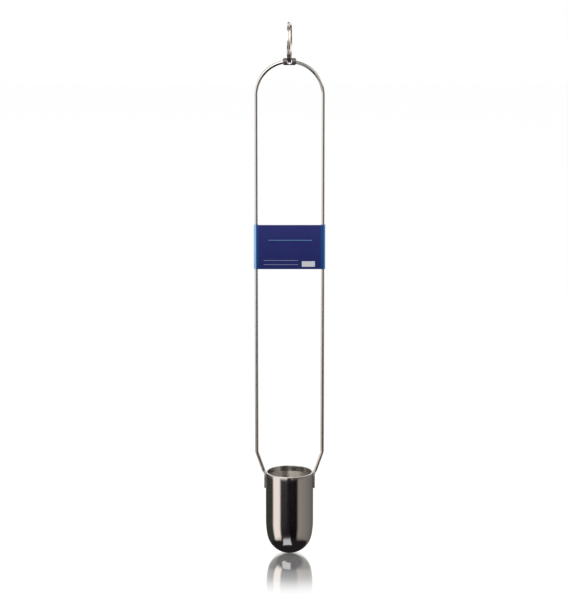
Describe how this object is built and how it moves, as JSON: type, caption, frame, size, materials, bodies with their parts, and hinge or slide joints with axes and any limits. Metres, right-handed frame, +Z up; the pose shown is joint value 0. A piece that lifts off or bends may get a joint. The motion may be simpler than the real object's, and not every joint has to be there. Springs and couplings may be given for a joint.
{
  "type": "viscosity dip cup",
  "caption": "Bullet-shaped steel dip cup with a metering hole in its bottom, on a long wire bow with a blank blue tag and a finger ring at the top.",
  "frame": {"origin": "centre of the metering hole at the cup's outer bottom face", "axes": "+Z up the handle towards the finger ring, X from rod to rod, -Y out of the tag's face towards the picture's viewer"},
  "size_m": [0.0512, 0.0344, 0.3869],
  "materials": {
    "cup_steel": "bright polished stainless steel with fine turning lines",
    "rod_steel": "bright drawn stainless rod",
    "eye_steel": "darker satin steel",
    "ring_nickel": "warm nickel plate",
    "tag_blue": "blue anodised satin sheet"
  },
  "bodies": {
    "ring": {"finger_ring": "ring_nickel"},
    "cup_and_handle": {"cup_shell": "cup_steel", "handle_wire_left": "rod_steel", "handle_wire_right": "rod_steel", "hanger_eye": "eye_steel", "tag_plate": "tag_blue"}
  },
  "joints": [
    {"name": "ring_swing", "type": "hinge", "parent": "ring", "child": "cup_and_handle", "pos_m": [0, 0, 0.3592], "axis": [0, 1, 0], "range_deg": [-116, 116]}
  ]
}
